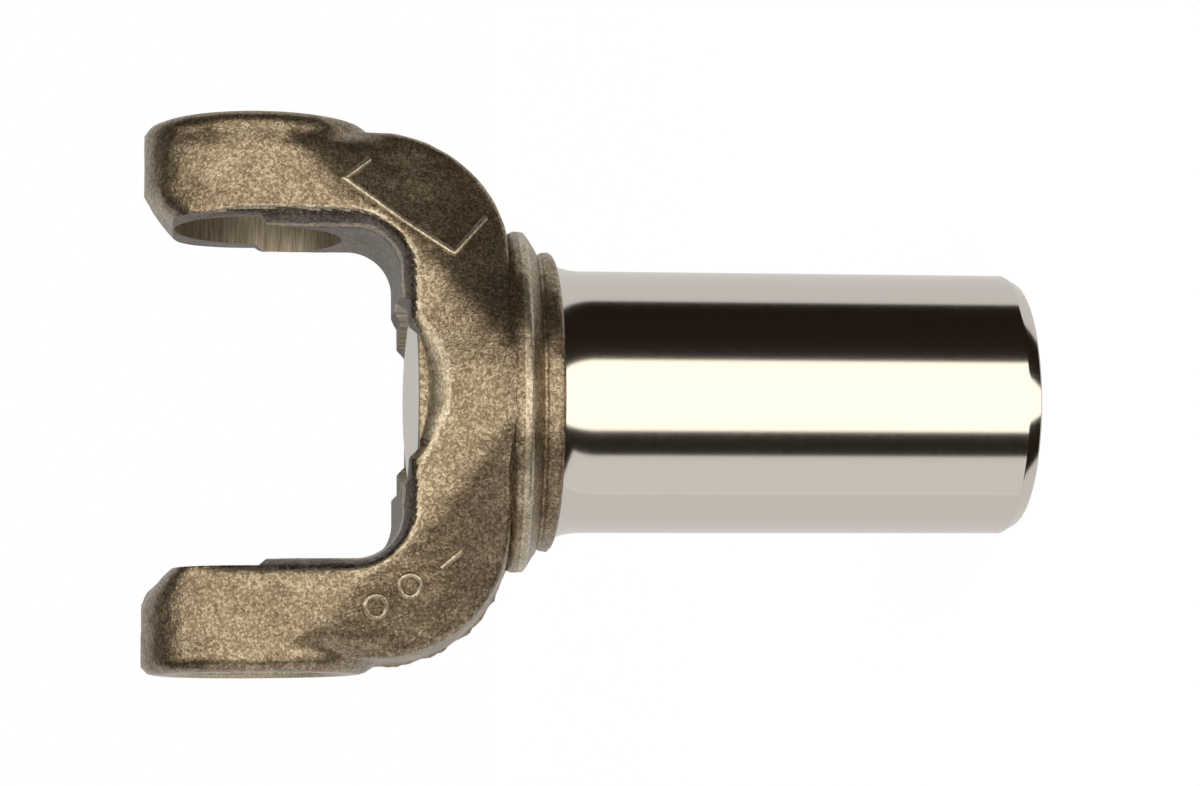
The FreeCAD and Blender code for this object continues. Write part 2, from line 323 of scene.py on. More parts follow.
# Each point moves along the field's gradient by a sum of noises: broad dents, finer lumps, and
# a ragged ridge where the flash was trimmed, which falls off with the height over the parting
# plane as exp(-(z / width) squared). What is cut or sheared stays true.
def roughen(points):
    f = fork
    x, y, z = points[..., 0], points[..., 1], points[..., 2]
    small = f["probe"]
    gradient = np.stack([
        forgingField(x + small, y, z) - forgingField(x - small, y, z),
        forgingField(x, y + small, z) - forgingField(x, y - small, z),
        forgingField(x, y, z + small) - forgingField(x, y, z - small)], -1)
    gradient /= np.maximum(np.linalg.norm(gradient, axis=-1, keepdims=True), 1e-9)
    raw = np.clip((gapField(x, y) - f["gapMargin"]) / f["skinFade"], 0, 1)
    raw = raw * np.clip((f["earFace"] - f["padMargin"] - np.abs(y)) / f["skinFade"], 0, 1)
    broad, finer = f["dentCells"]
    push = f["dents"] * (lumps(points, broad, 3) + f["finerShare"] * lumps(points, finer, 4))
    push = push + f["grain"] * lumps(points, f["grainCell"], 5)
    broad, finer = f["flashCells"]
    base, first, second = f["flashShares"]
    ragged = base + first * lumps(points, broad, 6) + second * lumps(points, finer, 7)
    ridge = f["flash"] * np.clip(ragged, 0, 2) * np.exp(-(z / f["flashWidth"]) ** 2)
    level = np.hypot(gradient[..., 0], gradient[..., 1])
    steep = np.clip((level - f["steepStart"]) / f["steepFade"], 0, 1)
    tip = np.clip((x + f["earRadius"]) / f["tipRun"], f["tipLeast"], 1)
    moved = points + gradient * (raw * (push + ridge * steep * tip))[..., None]
    moved[..., 0] = np.maximum(moved[..., 0], -f["earRadius"])
    return moved


def cut(piece, cutters):  # the piece less each closed cutter
    for cutter in cutters:
        change = piece.modifiers.new("cut", "BOOLEAN")
        change.operation, change.solver, change.object = "DIFFERENCE", "MANIFOLD", cutter
    bpy.context.view_layer.update()
    finished = piece.evaluated_get(bpy.context.evaluated_depsgraph_get())
    shape = bpy.data.meshes.new_from_object(finished)
    piece.modifiers.clear()
    piece.data = shape
    for cutter in cutters:
        bpy.data.objects.remove(cutter)
    return piece


def mirrored(half):  # an outline and its mirror image across Y = 0, as one closed outline
    return half + [(x, -y) for x, y in half[::-1]]


# What the machines take off the forging, each a closed cutter: prisms for the milled ears and
# the stepped saddle, and turned bars for the cross bore, the plug's seat and the two pockets.
def forkCutters():
    f = fork
    far, turns, pole = f["cutterReach"], f["cutterSteps"], f["cutterPole"]
    runOut = f["reliefEnd"] + f["earGap"] - f["rawGap"]
    relief = mirrored([(-far, f["earGap"]), (f["reliefEnd"], f["earGap"]),
                       (runOut, f["rawGap"] - pole), (runOut, f["gapStart"])])
    depth, outer, inner = f["stepDepth"], f["outerStep"], f["innerStep"]
    first, floor = f["saddle"] + depth, f["saddle"] + 2 * depth
    steps = mirrored([(f["stepStart"], outer + depth), (f["saddle"], outer + depth),
                      (first, outer), (first, inner + depth), (floor, inner)])
    bore, seat = f["boreRadius"], f["ringSeat"]
    deep, end = bore + f["ringDepth"], seat + f["ringWidth"]
    mouth = bore + f["boreChamfer"] + f["mouthRun"]
    half = [(f["boreStart"], bore), (seat, bore), (seat, deep), (end, deep), (end, bore),
            (f["earFace"] - f["boreChamfer"], bore), (f["earFace"] + f["mouthRun"], mouth)]
    profile = [(-far, pole), (-far, mouth)] + [(-y, r) for y, r in half[::-1]] + half
    start, stop, radius = f["seatStart"], f["seatStop"], f["plugSeat"]
    plugSeat = [(start, pole), (start, radius), (stop, radius), (stop, pole)]
    cutters = [
        straightPrism("relief", relief, far), straightPrism("steps", steps, far),
        turned("crossBore", profile + [(far, mouth), (far, pole)], turns, "Y"),
        turned("plugSeat", plugSeat, turns)]
    wide = f["pocketRadius"] + f["pocketHeight"] * f["pocketSlope"]
    for side in (1, -1):
        low, high = side * f["pocketFloor"], side * (f["pocketFloor"] + f["pocketHeight"])
        pocket = [(low, pole), (low, f["pocketRadius"]), (high, wide), (high, pole)]
        cutters.append(turned("pocket", pocket, turns, "Z"))
    return cutters


points = forgingSkin()
rows, columns = points.shape[:2]
poles = np.stack([points[0].mean(0), points[-1].mean(0)])
allPoints = np.concatenate([points.reshape(-1, 3), poles])
firstPole = rows * columns
forging = meshPiece("fork_forging", allPoints, ringFaces(rows, columns, firstPole, firstPole + 1))
faceOutwards(forging)
print("forging skin", rows, columns)
forging = cut(forging, forkCutters())
softShading(forging, fork["sharp"])
print("forging cut", len(forging.data.polygons))


# The flange and the collar behind it, as forged.
flange = {
    "front": 41.0, "radius": 31.2, "edge": 44.8, "end": 48.4, "slopeEnd": 50.1,
    "slopeRadius": 27.7, "groove": 50.5, "grooveRadius": 26.8, "collarRadius": 27.3,
    "collarEnd": 53.1, "inner": 18.2, "draft": 2.5, "steps": 420, "spacing": 0.45,
    "dents": 0.10, "dentCells": (5.0, 2.4), "finerShare": 0.7, "grain": 0.05, "grainCell": 1.2,
    "mostDent": 0.09, "flash": 0.4, "flashWidth": 0.8, "flashCell": 1.6, "flashShare": 0.5,
    "leanStart": 2, "leanStop": 0.6, "flashStop": 0.3, "endFade": 0.9,
    "skinRadius": 25, "skinFade": 1.5, "rubbedAndHighlitBefore": 1.6, "rubbedAndHighlitAfter": 0.1, "rubbedAndHighlitDepth": 1,
    "sharp": 50,
}


# (along, radius) points: the flange's rising front, its rounded top and falling back, then the
# groove and the collar, as offsets from the radii and ends of the dictionary.
def flangeProfile():
    f = flange
    radius, edge, end, groove = f["radius"], f["edge"], f["end"], f["groove"]
    collar, collarEnd = f["collarRadius"], f["collarEnd"]
    return finely([
        (f["front"], f["inner"]), (f["front"], radius - 5.4), (edge - 1.2, radius - 3.2),
        (edge - 0.3, radius - 1.6), (edge + 0.5, radius - 0.5), (edge + 1.3, radius - 0.1),
        (end - 1.3, radius - 0.1), (end - 0.5, radius - 0.3), (end, radius - 0.8),
        (f["slopeEnd"], f["slopeRadius"]), (groove, f["grooveRadius"]),
        (groove + 0.3, f["grooveRadius"]), (groove + 0.9, collar - 0.1),
        (collarEnd - 0.9, collar), (collarEnd - 0.3, collar - 0.4), (collarEnd, collar - 1.0),
        (collarEnd, f["inner"])], f["spacing"])


# The profile carried round X. Between the flange's top and the collar it leans back with the
# die draft, by the tangent of the draft times the height over the parting plane.
def flangeRing():
    f = flange

    def rough(along, angle, radius):
        place = np.stack([along, radius * np.cos(angle), radius * np.sin(angle)], -1)
        broad, finer = f["dentCells"]
        amount = f["dents"] * (lumps(place, broad, 13) + f["finerShare"] * lumps(place, finer, 14))
        amount = amount + f["grain"] * lumps(place, f["grainCell"], 15)
        ridge = f["flash"] * np.clip(f["flashShare"] + lumps(place, f["flashCell"], 16), 0, 2)
        ridge = ridge * np.exp(-(place[..., 2] / f["flashWidth"]) ** 2)
        share = np.clip((along - f["front"]) / f["leanStart"], 0, 1)
        share = share * np.clip((f["collarEnd"] - f["leanStop"] - along) / f["endFade"], 0, 1)
        lean = np.abs(place[..., 2]) * math.tan(math.radians(f["draft"])) * share
        skin = np.clip((radius - f["skinRadius"]) / f["skinFade"], 0, 1)
        ridge = ridge * np.clip((f["collarEnd"] - f["flashStop"] - along) / f["endFade"], 0, 1)
        return -lean, skin * (np.minimum(amount, f["mostDent"]) + ridge)

    return turned("flange_collar", flangeProfile()[:-1], f["steps"], "X", rough)


# Marks raised by the dies on the shoulders' facets, all left plain: (x, y) on the upper side.
marks = {
    "width": 1.2, "height": 0.6, "step": 0.35, "sides": 12, "halvings": 30, "search": (5.0, 32.0),
    "frame": [(19.2, 41.2), (14.6, 37.3), (33.9, 23.9), (39.9, 31.0)],
    "bar": [(31.6, -31.6), (35.2, -28.6)],
    "rings": [((20.2, -38.2), 1.9), ((26.2, -34.6), 1.9)], "ringPoints": 37, "sharp": 60,
}


# A low round ridge along a line on the upper skin: its axis lies on the skin, where the field is
# zero, and its half ellipse stands square to the line and to the facet's normal.
def markRidge(line, isClosed):
    m, slope = marks, math.radians(fork["facetSlope"])
    x, y = np.asarray(line, float).T
    low, high = (np.full(len(x), z) for z in m["search"])
    for _ in range(m["halvings"]):
        middle = (low + high) / 2
        inside = forgingField(x, y, middle) < 0
        low, high = np.where(inside, middle, low), np.where(inside, high, middle)
    axis = np.stack([x, y, low], -1)
    tilt = math.sin(slope) / math.sqrt(2)
    out = np.array([tilt, np.sign(y.mean()) * tilt, math.cos(slope)])
    ahead = np.roll(axis, -1, 0) - np.roll(axis, 1, 0)
    if not isClosed:
        ahead[0], ahead[-1] = axis[1] - axis[0], axis[-1] - axis[-2]
    across = np.cross(ahead, out)
    across /= np.linalg.norm(across, axis=1, keepdims=True)
    count, sides = len(x), m["sides"]
    turn = np.linspace(0, 2 * np.pi, sides, endpoint=False)[None, :, None]
    ring = axis[:, None] + across[:, None] * np.cos(turn) * m["width"] / 2
    ring = (ring + out * np.sin(turn) * m["height"]).reshape(-1, 3)
    if isClosed:
        return ring, torusFaces(count, sides)
    closed = np.concatenate([ring, axis[:1], axis[-1:]])
    return closed, ringFaces(count, sides, count * sides, count * sides + 1)


# Each mark is a ridge along its line: straight lines, or full circles less their last point.
def markPieces():
    m = marks
    lines = {
        "facet_frame": (finely(m["frame"], m["step"]), False),
        "facet_bar": (finely(m["bar"], m["step"]), False),
    }
    for name, (centre, radius) in zip(("facet_ring_a", "facet_ring_b"), m["rings"]):
        lines[name] = arcPoints(centre, radius, 0, 360, m["ringPoints"])[:-1], True
    made = [meshPiece(name, *markRidge(*line)) for name, line in lines.items()]
    return [softShading(faceOutwards(piece), m["sharp"]) for piece in made]


markedPieces = markPieces()
print("marks made", len(markedPieces))

flangePiece = softShading(flangeRing(), flange["sharp"])
print("flange made")


# The barrel, turned and ground outside and splined inside. The shares are of a tooth's pitch.
barrel = {
    "radius": 23.94, "end": 139.6, "chamferLength": 2.6, "chamferHeight": 1.5,
    "fillet": 1.2, "filletLength": 5.5, "filletPoints": 14, "collarEnd": 53.0,
    "seatEnd": 29.55, "sleeve": 19.0, "major": 17.4, "minor": 16.1, "splineStart": 46.0,
    "entryBore": 5.0, "entryChamfer": 1.2, "teeth": 32, "rootShare": 0.42, "tipShare": 0.66,
    "steps": 512, "spacing": 6.0, "sharp": 15,
}


# The barrel's profile carried round X, with a fillet that is an arc tangent to the barrel.
# Between the spline's ends the inner radius swings from the major to the minor one with the
# angle, along straight flanks.
def barrelTube():
    b = barrel
    radius, end, major, minor = b["radius"], b["end"], b["major"], b["minor"]
    arc = (b["filletLength"] ** 2 + b["fillet"] ** 2) / (2 * b["fillet"])
    turn = np.linspace(math.asin(b["filletLength"] / arc), 0, b["filletPoints"])
    filletEnd = b["collarEnd"] + b["filletLength"]
    fillet = np.stack([filletEnd - arc * np.sin(turn), radius + arc * (1 - np.cos(turn))], -1)
    chamfer, low = end - b["chamferLength"], radius - b["chamferHeight"]
    entry, ramp = end - b["entryBore"], major - minor
    profile = np.concatenate([
        [(b["seatEnd"], b["sleeve"]), (b["collarEnd"] - 1, b["sleeve"]),
         (b["collarEnd"] - 1, radius + b["fillet"])],
        fillet,
        finely([(filletEnd + 1, radius), (chamfer - 0.15, radius)], b["spacing"]),
        [(chamfer + 0.15, radius - 0.1), (end - 0.3, low + 0.12), (end, low - 0.25)],
        [(end, major + b["entryChamfer"]), (end - b["entryChamfer"], major), (entry + 0.01, major)],
        [(entry, major), (entry - ramp, minor)],
        [(b["splineStart"] + ramp, minor), (b["splineStart"], major)],
        [(b["splineStart"] - 0.01, major), (b["seatEnd"], major)]])

    def teeth(along, angle, radius):
        pitch = (angle * b["teeth"] / (2 * np.pi)) % 1
        away = np.abs(pitch - np.round(pitch))
        slant = (b["tipShare"] - b["rootShare"]) / 2
        flank = np.clip((b["tipShare"] / 2 - away) / slant, 0, 1)
        return 0, np.where(radius < major - 0.001, (major - radius) * flank, 0)

    return turned("barrel_tube", profile, b["steps"], "X", teeth)


barrelPiece = softShading(barrelTube(), barrel["sharp"])
print("barrel made")


# The plug that is pressed into the saddle.
plug = {
    "radius": 17.68, "crown": 26.45, "rim": 27.95, "thickness": 1.6, "lip": 0.35,
    "domePoints": 40, "lipTurn": (165, 90), "lipPoints": 6, "steps": 200, "sharp": 40,
}


# A shallow dome carried round X: a circular arc in front, at crown + ball - sqrt(ball ** 2 -
# radius ** 2) for a ball through crown and rim, and the same arc set back behind.
def plugDisc():
    p = plug
    rise = p["rim"] - p["crown"]
    ball = (p["radius"] ** 2 + rise ** 2) / (2 * rise)
    out = np.linspace(0.01, p["radius"] - p["lip"], p["domePoints"])
    front = np.stack([p["crown"] + ball - np.sqrt(ball ** 2 - out ** 2), out], -1)
    centre = (front[-1, 0] + p["lip"], p["radius"] - p["lip"])
    rim = arcPoints(centre, p["lip"], *p["lipTurn"], p["lipPoints"])
    rear = front[::-1] + [p["thickness"], 0]
    rear[0, 1] = p["radius"]
    return turned("expansion_disc", np.concatenate([front, rim, rear]), p["steps"])


plugPiece = softShading(plugDisc(), plug["sharp"])
print("plug made")


# A hex colour as linear values: v / 12.92 near black, else ((v + 0.055) / 1.055) ** 2.4.
def srgb(text):
    values = [int(text[i:i + 2], 16) / 255 for i in (1, 3, 5)]
    return [v / 12.92 if v <= 0.04045 else ((v + 0.055) / 1.055) ** 2.4 for v in values] + [1.0]


# One node of a kind, with its values, its links from other nodes, its colour stops, each a
# place from 0 to 1 and a hex colour, and its settings.
def addNode(tree, kind, inputs=None, links=None, stops=(), **settings):
    node = tree.nodes.new(kind)
    for key, value in settings.items():
        setattr(node, key, value)
    for key, value in (inputs or {}).items():
        node.inputs[key].default_value = value
    for key, source in (links or {}).items():
        tree.links.new(source, node.inputs[key])
    if stops:
        elements = node.color_ramp.elements
        while len(elements) < len(stops):
            elements.new(1.0)
        for element, (place, colour) in zip(elements, stops):
            element.position, element.color = place, srgb(colour)
    return node


def newMaterial(name):  # an empty material, and its tree of nodes
    material = bpy.data.materials.new(name)
    material.use_nodes = True
    tree = material.node_tree
    tree.nodes.clear()
    return material, tree


# Cells, pits, clouds, waver and depth are in millimetres. A cell is the dent of one blasting
# shot, a few tenths of a millimetre wide. The shares are how much each pattern adds to the tone.
forgedLook = {
    "cell": 0.36, "waver": 0.26, "pits": 0.8, "clouds": 8.0, "smoothness": 0.35,
    "grainShare": 0.24, "pitShare": 0.42, "cloudShare": 0.34, "stops": (0.3, 0.5, 0.72),
    "pitBump": 0.9, "bump": 0.26, "depth": 0.1, "metallic": 0.92, "roughness": 0.33,
    "dark": "#5c4c3c", "middle": "#897a66", "light": "#c9bca2",
}
# Paler tones for rubbed edges and raised marks: real rubbing, and a painted highlight along the
# edges.
rubbedAndHighlitLook = {**forgedLook, "dark": "#857865", "middle": "#b5a994", "light": "#e2dac9", "bump": 0.2}
# Torn, greyer and rougher metal on the trimmed gap, also painted darker as shade of the gap's
# walls.
shearedAndShadedLook = {
    **forgedLook, "dark": "#2e2823", "middle": "#5e554c", "light": "#9a8f83",
    "bump": 0.34, "roughness": 0.46,
}
# The saddle's broken-out steps, darkest of all: painted shade.
steppedShadeLook = {**shearedAndShadedLook, "dark": "#241f1b", "middle": "#443b34", "light": "#6a5f54"}


# Forged steel, shot-blasted: brown-gold oxide beaten into small facets, so it glitters without
# a clear reflection. Rubbed edges and raised marks are paler and smoother, and their paleness is
# also a painted highlight along the edges. Where the press trimmed the gap the metal is torn,
# greyer and rougher, and painted darker as shade of the gap's walls; the broken-out saddle is
# darkest, which is painted shade.
# The tone is a weighted sum of each cell's own shade, the pits and the clouds.
def forgedSteel(name, look):
    f = look
    material, tree = newMaterial(name)
    place = addNode(tree, "ShaderNodeTexCoord").outputs["Object"]
    cells = 1000 / f["cell"]
    waver = addNode(tree, "ShaderNodeTexNoise", {"Scale": cells, "Detail": 1.0}, {"Vector": place})
    shift = addNode(tree, "ShaderNodeVectorMath", {1: (f["waver"] * millimetre,) * 3},
                    {0: waver.outputs["Color"]}, operation="MULTIPLY")
    moved = addNode(tree, "ShaderNodeVectorMath", links={0: place, 1: shift.outputs[0]},
                    operation="ADD").outputs[0]
    edges = addNode(tree, "ShaderNodeTexVoronoi", {"Scale": cells, "Smoothness": f["smoothness"]},
                    {"Vector": moved}, feature="SMOOTH_F1")
    pits = addNode(tree, "ShaderNodeTexNoise",
                   {"Scale": 1000 / f["pits"], "Detail": 4.0, "Roughness": 0.65},
                   {"Vector": place}).outputs["Fac"]
    clouds = addNode(tree, "ShaderNodeTexNoise",
                     {"Scale": 1000 / f["clouds"], "Detail": 5.0, "Roughness": 0.6},
                     {"Vector": place}).outputs["Fac"]
    grains = addNode(tree, "ShaderNodeTexVoronoi", {"Scale": cells}, {"Vector": moved})
    shade = addNode(tree, "ShaderNodeSeparateColor", links={0: grains.outputs["Color"]})
    tone = addNode(tree, "ShaderNodeMath", {1: f["grainShare"]}, {0: shade.outputs[0]},
                   operation="MULTIPLY")
    for share, source in ((f["pitShare"], pits), (f["cloudShare"], clouds)):
        tone = addNode(tree, "ShaderNodeMath", {1: share}, {0: source, 2: tone.outputs[0]},
                       operation="MULTIPLY_ADD")
    colour = addNode(tree, "ShaderNodeValToRGB", links={"Fac": tone.outputs[0]},
                     stops=list(zip(f["stops"], (f["dark"], f["middle"], f["light"]))))
    height = addNode(tree, "ShaderNodeMath", {1: f["pitBump"]},
                     {0: pits, 2: edges.outputs["Distance"]}, operation="MULTIPLY_ADD")
    normal = addNode(tree, "ShaderNodeBump",
                     {"Strength": f["bump"], "Distance": f["depth"] * millimetre},
                     {"Height": height.outputs[0]})
    shader = addNode(tree, "ShaderNodeBsdfPrincipled",
                     {"Metallic": f["metallic"], "Roughness": f["roughness"]},
                     {"Base Color": colour.outputs["Color"], "Normal": normal.outputs["Normal"]})
    addNode(tree, "ShaderNodeOutputMaterial", links={"Surface": shader.outputs["BSDF"]})
    return material


# The mark is the distance from one tool mark to the next in millimetres, and the run is how
# much each axis counts, so that a small share stretches the marks along it.
machinedLook = {
    "mark": 0.22, "dark": "#9d9282", "light": "#dcd4c6", "stops": (0.3, 0.7),
    "roughness": 0.45, "metallic": 1.0, "run": (0.03, 1.0, 0.03), "bump": 0.25, "depth": 0.02,
}
boredLook = {
    **machinedLook, "mark": 0.35, "dark": "#9c907e", "light": "#d8cfbf",
    "roughness": 0.4, "metallic": 0.95, "run": (1.0, 0.05, 1.0),
}


# Machined steel, milled on the ears' faces and bored through them: bare metal, whose tool marks
# stretched along the cut give it a soft directional shine.
def machinedSteel(name, look):
    m = look
    material, tree = newMaterial(name)
    place = addNode(tree, "ShaderNodeTexCoord").outputs["Object"]
    drawn = addNode(tree, "ShaderNodeMapping", {"Scale": m["run"]}, {"Vector": place})
    lines = addNode(tree, "ShaderNodeTexNoise", {"Scale": 1000 / m["mark"], "Detail": 2.0},
                    {"Vector": drawn.outputs[0]}).outputs["Fac"]
    colour = addNode(tree, "ShaderNodeValToRGB", links={"Fac": lines},
                     stops=list(zip(m["stops"], (m["dark"], m["light"]))))
    normal = addNode(tree, "ShaderNodeBump",
                     {"Strength": m["bump"], "Distance": m["depth"] * millimetre},
                     {"Height": lines})
    shader = addNode(tree, "ShaderNodeBsdfPrincipled",
                     {"Metallic": m["metallic"], "Roughness": m["roughness"]},
                     {"Base Color": colour.outputs["Color"], "Normal": normal.outputs["Normal"]})
    addNode(tree, "ShaderNodeOutputMaterial", links={"Surface": shader.outputs["BSDF"]})
    return material


# The wheel's marks are really some hundredths of a millimetre apart, too fine to show, and are
# drawn 0.12 mm apart. The spread is how far they take the roughness down and up.
groundLook = {
    "colour": "#d9d5ce", "roughness": 0.12, "spread": (0.7, 1.4), "scratch": 0.12,
    "run": (0.02, 0.02, 1.0), "bump": 0.05, "depth": 0.005,
}


# Ground steel: nearly a mirror, with very fine marks round the barrel from the wheel, which
# draw its reflections out a little.
def groundSteel():
    g = groundLook
    material, tree = newMaterial("groundSteel")
    place = addNode(tree, "ShaderNodeTexCoord").outputs["Object"]
    drawn = addNode(tree, "ShaderNodeMapping", {"Scale": g["run"]}, {"Vector": place})
    lines = addNode(tree, "ShaderNodeTexNoise", {"Scale": 1000 / g["scratch"], "Detail": 2.0},
                    {"Vector": drawn.outputs[0]}).outputs["Fac"]
    least, most = (g["roughness"] * share for share in g["spread"])
    rough = addNode(tree, "ShaderNodeMapRange", {"To Min": least, "To Max": most},
                    {"Value": lines})
    normal = addNode(tree, "ShaderNodeBump",
                     {"Strength": g["bump"], "Distance": g["depth"] * millimetre},
                     {"Height": lines})
    shader = addNode(tree, "ShaderNodeBsdfPrincipled",
                     {"Metallic": 1.0, "Base Color": srgb(g["colour"])},
                     {"Roughness": rough.outputs[0], "Normal": normal.outputs["Normal"]})
    addNode(tree, "ShaderNodeOutputMaterial", links={"Surface": shader.outputs["BSDF"]})
    return material


# Clouds of roughness about 4.5 mm wide, 220 to a metre, between these two ends.
plateLook = {"colour": "#f4f4f1", "metallic": 0.2, "roughness": (0.28, 0.42), "clouds": 1000 / 220}


# Zinc-plated sheet: pale grey and smooth, with a soft sheen.
def platedSheet():
    p = plateLook
    material, tree = newMaterial("zincPlatedSheet")
    place = addNode(tree, "ShaderNodeTexCoord").outputs["Object"]
    clouds = addNode(tree, "ShaderNodeTexNoise", {"Scale": 1000 / p["clouds"], "Detail": 4.0},
                     {"Vector": place})
    least, most = p["roughness"]
    rough = addNode(tree, "ShaderNodeMapRange", {"To Min": least, "To Max": most},
                    {"Value": clouds.outputs["Fac"]})
    shader = addNode(tree, "ShaderNodeBsdfPrincipled",
                     {"Metallic": p["metallic"], "Base Color": srgb(p["colour"])},
                     {"Roughness": rough.outputs[0]})
    addNode(tree, "ShaderNodeOutputMaterial", links={"Surface": shader.outputs["BSDF"]})
    return material


# How near a face has to lie to a cut or an edge to take its finish, in millimetres. From
# "wall" to "barred" they are limits on a part of its normal.
nearness = {
    "skin": 0.15, "rim": 0.35, "edge": 0.7, "rimDepth": 1.2, "cut": 0.05, "milled": 0.02,
    "past": 0.1, "hair": 0.01, "bore": 1.3, "runOut": 2, "pocketLow": 1.5, "pocketOut": 0.3,
    "shoulder": 40, "shoulderSide": 12, "stepReach": 3,
    "wall": 0.02, "turned": 0.1, "slanted": 0.6, "barred": 0.5,
}
finishNames = ("forged", "shearedAndShaded", "machined", "bored", "rubbedAndHighlit", "steppedShade")


# Each face of the forging gets its finish from where it lies: on a cut plane, in a bore, or raw.
# Some finishes are partly painted shade or painted highlight.
# A later finish goes over an earlier one.
def paintForging(piece):
    f, n = fork, nearness
    mesh = piece.data
    count = len(mesh.polygons)
    centres, normals = np.empty(count * 3), np.empty(count * 3)
    mesh.polygons.foreach_get("center", centres)
    mesh.polygons.foreach_get("normal", normals)
    x, y, z = laid(centres.reshape(-1, 3) / millimetre).T
    nx, ny, nz = np.abs(laid(normals.reshape(-1, 3)).T)
    side, up = np.abs(y), np.abs(z)
    isWall = nz < n["wall"]
    body, armTop, wall = bodyFields(x, y, z)
    rim = rimField(x, y, z)
    fromPlug = np.hypot(x, y) - f["pocketRadius"]

    # Rubbed edges, painted paler: the rim's edge, the pocket's edge and the shoulders' crease,
    # rubbed and with a painted highlight.
    rubbedAndHighlit = (np.abs(body + rim) < n["edge"]) & (up > f["rimStart"]) & (rim < n["rimDepth"])
    pocketWall = np.abs(fromPlug - (up - f["pocketFloor"]) * f["pocketSlope"])
    isOutside = (up > f["pocketFloor"] + n["pocketLow"]) & (fromPlug > n["pocketOut"])
    rubbedAndHighlit |= (pocketWall < n["edge"]) & isOutside
    isShoulder = (x > n["shoulder"]) & (side > n["shoulderSide"])
    rubbedAndHighlit |= (np.abs(armTop - wall) < n["edge"]) & isShoulder

    # Trimmed gap walls and rim: torn metal, painted darker as the shade inside the gap.
    shearedAndShaded = (np.abs(gapField(x, y)) < n["skin"]) | (np.abs(rim) < n["rim"])
    shearedAndShaded |= (np.abs(side - f["earGap"]) < n["milled"]) & (x < f["reliefEnd"] + n["past"])
    isSlanted = isWall & (nx > n["slanted"]) & (ny > n["slanted"])
    isRunOut = (side < f["earGap"] + n["hair"]) & (np.abs(x - f["reliefEnd"]) < n["runOut"])
    shearedAndShaded |= isSlanted & isRunOut

    seat = (np.hypot(y, z) < f["plugSeat"] + n["cut"]) & (nx < n["turned"])
    machined = (side > f["earFace"] - n["cut"]) | seat
    # The saddle's step walls and seat: painted shade, the darkest finish.
    isSaddle = (x > f["saddle"] - n["cut"]) & (x < f["saddle"] + n["stepReach"])
    stepReach = f["outerStep"] + f["stepDepth"] + n["past"]
    steppedShade = (isWall | seat) & isSaddle & (side < stepReach)
    bored = np.hypot(x, z) < f["boreRadius"] + n["bore"]
    bored &= (ny < n["barred"]) | (side > f["ringSeat"])

    index = np.zeros(count, np.int32)
    painted = {"rubbedAndHighlit": rubbedAndHighlit, "shearedAndShaded": shearedAndShaded, "machined": machined,
               "steppedShade": steppedShade, "bored": bored}
    for name, faces in painted.items():
        index[faces] = finishNames.index(name)
    mesh.polygons.foreach_set("material_index", index)
    mesh.update()


# The flange's faces come in rings, one for each step of its profile. The rings on the rear edge
# of its rim are rubbed, and paler also as a painted highlight along that edge.
def paintFlange(piece):
    f = flange
    profile = flangeProfile()
    along, radius = ((profile[1:] + profile[:-1]) / 2).T
    isRubbedAndHighlit = (along > f["end"] - f["rubbedAndHighlitBefore"]) & (along < f["end"] + f["rubbedAndHighlitAfter"])
    isRubbedAndHighlit &= radius > f["radius"] - f["rubbedAndHighlitDepth"]
    ring = np.arange(len(piece.data.polygons)) // f["steps"]
    piece.data.polygons.foreach_set("material_index", isRubbedAndHighlit[ring].astype(np.int32))


finishes = {
    "forged": forgedSteel("shotBlastedForgedSteel", forgedLook),
    "rubbedAndHighlit": forgedSteel("rubbedAndHighlitForgedSteel", rubbedAndHighlitLook),
    "shearedAndShaded": forgedSteel("trimmedSteelPaintedShade", shearedAndShadedLook),
    "steppedShade": forgedSteel("brokenOutSteelPaintedShade", steppedShadeLook),
    "machined": machinedSteel("milledSteel", machinedLook),
    "bored": machinedSteel("boredSteel", boredLook),
    "ground": groundSteel(), "plated": platedSheet(),
}
forging.data.materials.clear()
for name in finishNames:
    forging.data.materials.append(finishes[name])
paintForging(forging)
for name in ("forged", "rubbedAndHighlit"):
    flangePiece.data.materials.append(finishes[name])
paintFlange(flangePiece)
barrelPiece.data.materials.append(finishes["ground"])
plugPiece.data.materials.append(finishes["plated"])
# The raised marks take the rubbed finish, whose paleness is partly a painted highlight.
for piece in markedPieces:
    piece.data.materials.append(finishes["rubbedAndHighlit"])

for piece in (forging, flangePiece, barrelPiece, plugPiece, *markedPieces):
    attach(piece, "root")
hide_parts("yoke")
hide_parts("expansion_plug")
print("materials made")


# The set, lying down in millimetres. A lamp is its centre's x, y and z, its width and its depth.
studio = {
    "backdrop": -1000.0, "floor": 139.6, "boardSize": 8000.0, "wallSize": 40000.0,
    "wallLeft": -1500.0, "boardColour": "#f4f4f4", "whiteShare": 0.9, "whiteStrength": 1.08,
    "mirrored": "#dcd9d6", "mirroredStrength": 1.05,
    "front": (-147, -5, 900, 1385, 1072), "frontPower": 7.9,
    "low": (2972, -5, 900, 4855, 1072), "lowPower": 27.8,
    "side": (60, -900, 322, 1700, 711), "sidePower": 3.05,
    "left": (-1500, 40, 760, 1350, 900), "leftPower": 7.0,
    "lampColour": "#fff9ec", "sideColour": "#fffaf6",
    "world": 0.018, "worldColour": "#ffdcb4",
}


# Where a lamp or the camera is: its three axes and its place, given lying down, as a matrix.
def placed(right, up, back, place):
    columns = [stood(right), stood(up), stood(back), stood(place) * millimetre]
    return Matrix([[float(column[i]) for column in columns] for i in range(3)] + [[0, 0, 0, 1]])


